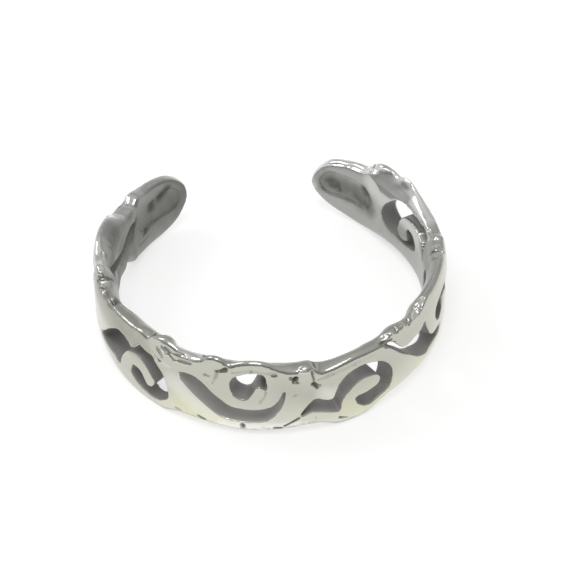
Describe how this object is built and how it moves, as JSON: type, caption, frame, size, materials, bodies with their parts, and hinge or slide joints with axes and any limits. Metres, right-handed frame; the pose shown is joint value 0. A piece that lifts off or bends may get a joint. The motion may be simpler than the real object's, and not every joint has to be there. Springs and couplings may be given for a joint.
{
  "type": "toe ring",
  "caption": "Open adjustable toe ring: one cast band pierced with a running vine of spirals, scalloped edges with small knobs and two rounded terminals with blank sunk fields inside.",
  "frame": {"origin": "middle of the bore that the toe goes through, on the ring's axis and halfway along the straight part of its inside", "axes": "+Z along the ring's axis, up as the ring lies on its lower edge; -Y to the front of the band; +Y to the gap between the terminals; +X to the right as seen from the front"},
  "size_m": [0.0174, 0.0166, 0.0049],
  "materials": {
    "silver": "polished cast silver, dark in the openings"
  },
  "bodies": {
    "root": {"band": "silver"}
  },
  "joints": []
}
